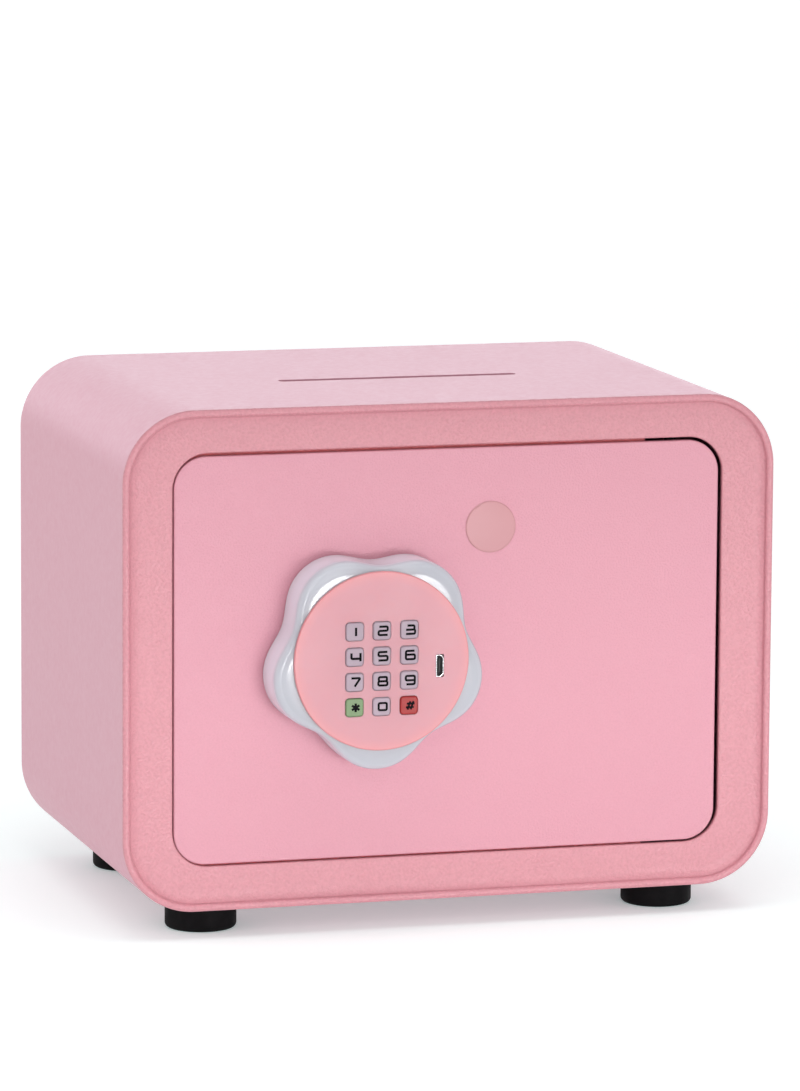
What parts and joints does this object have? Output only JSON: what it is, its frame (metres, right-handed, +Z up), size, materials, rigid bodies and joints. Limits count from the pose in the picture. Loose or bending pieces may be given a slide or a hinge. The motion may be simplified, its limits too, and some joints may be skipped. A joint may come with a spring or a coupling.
{
  "type": "toy safe coin bank",
  "caption": "Rounded sheet-metal toy safe with a coin slot in its top, a hinged door, a flower-shaped keypad knob that throws the bolts, and rubber feet.",
  "frame": {"origin": "on the floor under the middle of the object's overall box, knob included", "axes": "+X to the right seen from the front, +Y to the back, +Z up"},
  "size_m": [0.23, 0.1702, 0.181],
  "materials": {
    "body_paint": "fine textured powder coat, satin",
    "door_paint": "fine textured powder coat, satin",
    "foot_rubber": "matt",
    "zinc_steel": "zinc plated",
    "bright_steel": "bright",
    "brass": "turned",
    "copper_winding": "enamelled winding",
    "black_plastic": "fine moulded texture",
    "battery_sleeve": "printed sleeve, no marks",
    "cap_plastic": "smooth satin",
    "knob_white": "high gloss",
    "disc_pink": "smooth satin",
    "circuit_board": "solder mask",
    "red_plastic": "moulded",
    "key_grey": "translucent silicone",
    "key_green": "translucent silicone",
    "key_red": "translucent silicone"
  },
  "bodies": {
    "safe_body": {"body_wrap": "body_paint", "back_panel": "body_paint", "front_frame": "body_paint", "hinge_bracket_top": "zinc_steel", "hinge_bracket_bottom": "zinc_steel", "foot_front_left": "foot_rubber", "foot_front_right": "foot_rubber", "foot_back_left": "foot_rubber", "foot_back_right": "foot_rubber", "foot_screw_front_left": "zinc_steel", "foot_screw_front_right": "zinc_steel", "foot_screw_back_left": "zinc_steel", "foot_screw_back_right": "zinc_steel"},
    "door": {"door_plate": "door_paint", "door_pan": "body_paint", "door_back_cover": "body_paint", "hinge_pin_top": "zinc_steel", "hinge_pin_bottom": "zinc_steel", "knob_bush": "brass", "carriage_guide": "zinc_steel", "solenoid_frame": "zinc_steel", "solenoid_coil": "copper_winding", "battery_box": "black_plastic", "battery_1": "battery_sleeve", "battery_2": "battery_sleeve", "battery_3": "battery_sleeve", "battery_4": "battery_sleeve", "cover_screw_1": "zinc_steel", "cover_screw_2": "zinc_steel", "lock_cylinder": "zinc_steel"},
    "plunger": {"solenoid_plunger": "zinc_steel", "plunger_spring": "zinc_steel"},
    "bolts": {"bolt_carriage": "zinc_steel", "bolt_upper": "bright_steel", "bolt_lower": "bright_steel"},
    "knob": {"knob_body": "knob_white", "knob_face": "disc_pink", "keypad_board": "circuit_board", "usb_socket": "bright_steel", "knob_shaft": "zinc_steel", "drive_plate": "zinc_steel", "circlip": "zinc_steel"},
    "lock": {"lock_plug": "brass", "lock_cam": "zinc_steel"},
    "key_cover": {"key_cover_cap": "cap_plastic"},
    "battery_lid": {"battery_cover": "black_plastic"},
    "reset": {"reset_button": "red_plastic"},
    "keypad_1": {"key_1": "key_grey"},
    "keypad_2": {"key_2": "key_grey"},
    "keypad_3": {"key_3": "key_grey"},
    "keypad_4": {"key_4": "key_grey"},
    "keypad_5": {"key_5": "key_grey"},
    "keypad_6": {"key_6": "key_grey"},
    "keypad_7": {"key_7": "key_grey"},
    "keypad_8": {"key_8": "key_grey"},
    "keypad_9": {"key_9": "key_grey"},
    "keypad_star": {"key_star": "key_green"},
    "keypad_0": {"key_0": "key_grey"},
    "keypad_hash": {"key_hash": "key_red"}
  },
  "joints": [
    {"name": "door_hinge", "type": "hinge", "parent": "safe_body", "child": "door", "pos_m": [0.08, -0.05995, 0.0955], "axis": [0, 0, 1], "range_deg": [0, 105]},
    {"name": "knob_turn", "type": "hinge", "parent": "door", "child": "knob", "pos_m": [-0.0293, -0.06895, 0.09615], "axis": [0, -1, 0], "range_deg": [0, 90]},
    {"name": "bolt_slide", "type": "slide", "parent": "door", "child": "bolts", "axis": [-1, 0, 0], "range_m": [0, 0.0114]},
    {"name": "plunger_slide", "type": "slide", "parent": "door", "child": "plunger", "axis": [0, 0, -1], "range_m": [0, 0.004], "deforming": ["plunger_spring"]},
    {"name": "lock_turn", "type": "hinge", "parent": "door", "child": "lock", "pos_m": [0.0141, -0.06395, 0.1376], "axis": [0, -1, 0], "range_deg": [0, 90]},
    {"name": "key_cover_pull", "type": "slide", "parent": "door", "child": "key_cover", "axis": [0, -1, 0], "range_m": [0, 0.015]},
    {"name": "battery_cover_lift", "type": "slide", "parent": "door", "child": "battery_lid", "axis": [0, 1, 0], "range_m": [0, 0.03]},
    {"name": "reset_press", "type": "slide", "parent": "door", "child": "reset", "axis": [0, -1, 0], "range_m": [0, 0.0015], "stiffness_N_per_m": 300},
    {"name": "key_1_press", "type": "slide", "parent": "knob", "child": "keypad_1", "axis": [0, 1, 0], "range_m": [0, 0.0008], "stiffness_N_per_m": 300},
    {"name": "key_2_press", "type": "slide", "parent": "knob", "child": "keypad_2", "axis": [0, 1, 0], "range_m": [0, 0.0008], "stiffness_N_per_m": 300},
    {"name": "key_3_press", "type": "slide", "parent": "knob", "child": "keypad_3", "axis": [0, 1, 0], "range_m": [0, 0.0008], "stiffness_N_per_m": 300},
    {"name": "key_4_press", "type": "slide", "parent": "knob", "child": "keypad_4", "axis": [0, 1, 0], "range_m": [0, 0.0008], "stiffness_N_per_m": 300},
    {"name": "key_5_press", "type": "slide", "parent": "knob", "child": "keypad_5", "axis": [0, 1, 0], "range_m": [0, 0.0008], "stiffness_N_per_m": 300},
    {"name": "key_6_press", "type": "slide", "parent": "knob", "child": "keypad_6", "axis": [0, 1, 0], "range_m": [0, 0.0008], "stiffness_N_per_m": 300},
    {"name": "key_7_press", "type": "slide", "parent": "knob", "child": "keypad_7", "axis": [0, 1, 0], "range_m": [0, 0.0008], "stiffness_N_per_m": 300},
    {"name": "key_8_press", "type": "slide", "parent": "knob", "child": "keypad_8", "axis": [0, 1, 0], "range_m": [0, 0.0008], "stiffness_N_per_m": 300},
    {"name": "key_9_press", "type": "slide", "parent": "knob", "child": "keypad_9", "axis": [0, 1, 0], "range_m": [0, 0.0008], "stiffness_N_per_m": 300},
    {"name": "key_star_press", "type": "slide", "parent": "knob", "child": "keypad_star", "axis": [0, 1, 0], "range_m": [0, 0.0008], "stiffness_N_per_m": 300},
    {"name": "key_0_press", "type": "slide", "parent": "knob", "child": "keypad_0", "axis": [0, 1, 0], "range_m": [0, 0.0008], "stiffness_N_per_m": 300},
    {"name": "key_hash_press", "type": "slide", "parent": "knob", "child": "keypad_hash", "axis": [0, 1, 0], "range_m": [0, 0.0008], "stiffness_N_per_m": 300}
  ],
  "couplings": [
    {"joint": "bolt_slide", "follows": "knob_turn", "m_per_rad": 0.0072}
  ]
}
